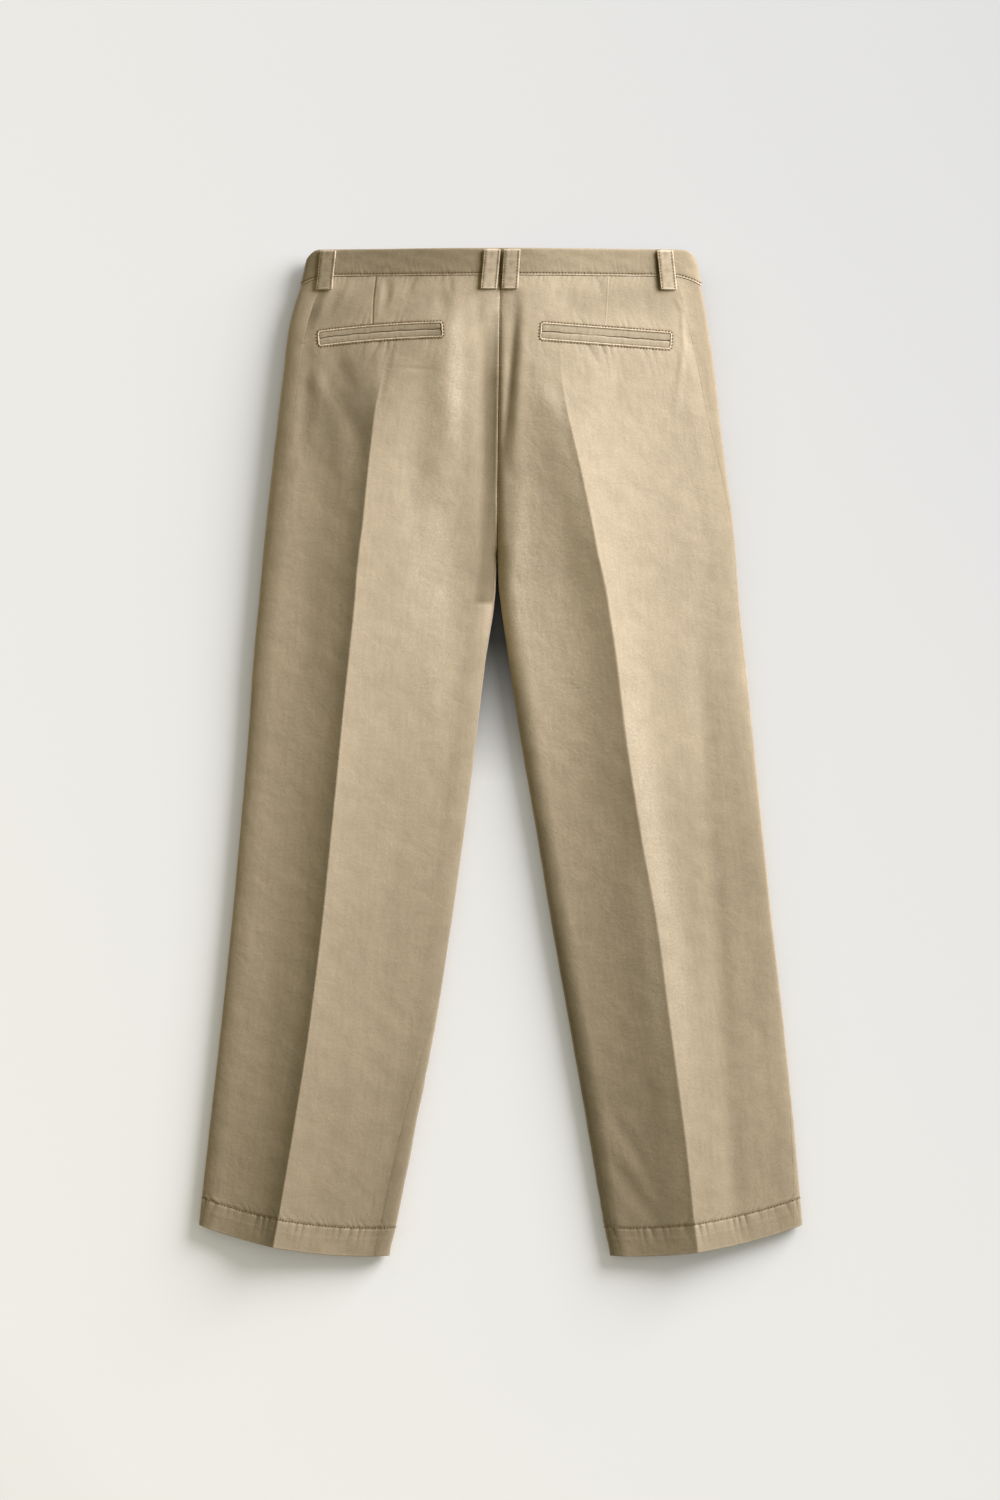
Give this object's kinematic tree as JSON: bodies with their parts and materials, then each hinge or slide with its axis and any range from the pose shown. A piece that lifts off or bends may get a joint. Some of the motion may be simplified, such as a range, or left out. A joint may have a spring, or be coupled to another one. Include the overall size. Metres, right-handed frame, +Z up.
{
  "type": "chino trousers",
  "caption": "Chino trousers laid flat with the back uppermost, with a belt-looped waistband, welt back pockets, darts, pressed creases and open hems.",
  "frame": {"origin": "on the surface that the trousers lie on, below the middle of their bounding box", "axes": "+X across the hips to the wearer's right, +Y from the hems to the waist, +Z up from the surface through the front to the back of the trousers"},
  "size_m": [0.6232, 1.0384, 0.0548],
  "materials": {
    "twill": "washed cotton twill, matt",
    "zip_tape": "woven polyester tape, matt",
    "zip_metal": "antique brass, satin",
    "button": "brown horn-like resin, satin"
  },
  "bodies": {
    "root": {"back_left": "twill", "back_right": "twill", "front_left": "twill", "front_right": "twill", "waistband_left": "twill", "waistband_right": "twill", "hem_left": "twill", "hem_right": "twill", "loop_front_left": "twill", "loop_front_right": "twill", "loop_side_left": "twill", "loop_middle_left": "twill", "loop_middle_right": "twill", "loop_side_right": "twill", "pocket_left_upper_lip": "twill", "pocket_left_lower_lip": "twill", "pocket_right_upper_lip": "twill", "pocket_right_lower_lip": "twill", "fly_shield": "twill", "zip_tape": "zip_tape", "zip_slider": "zip_metal", "waist_button": "button"}
  },
  "joints": []
}
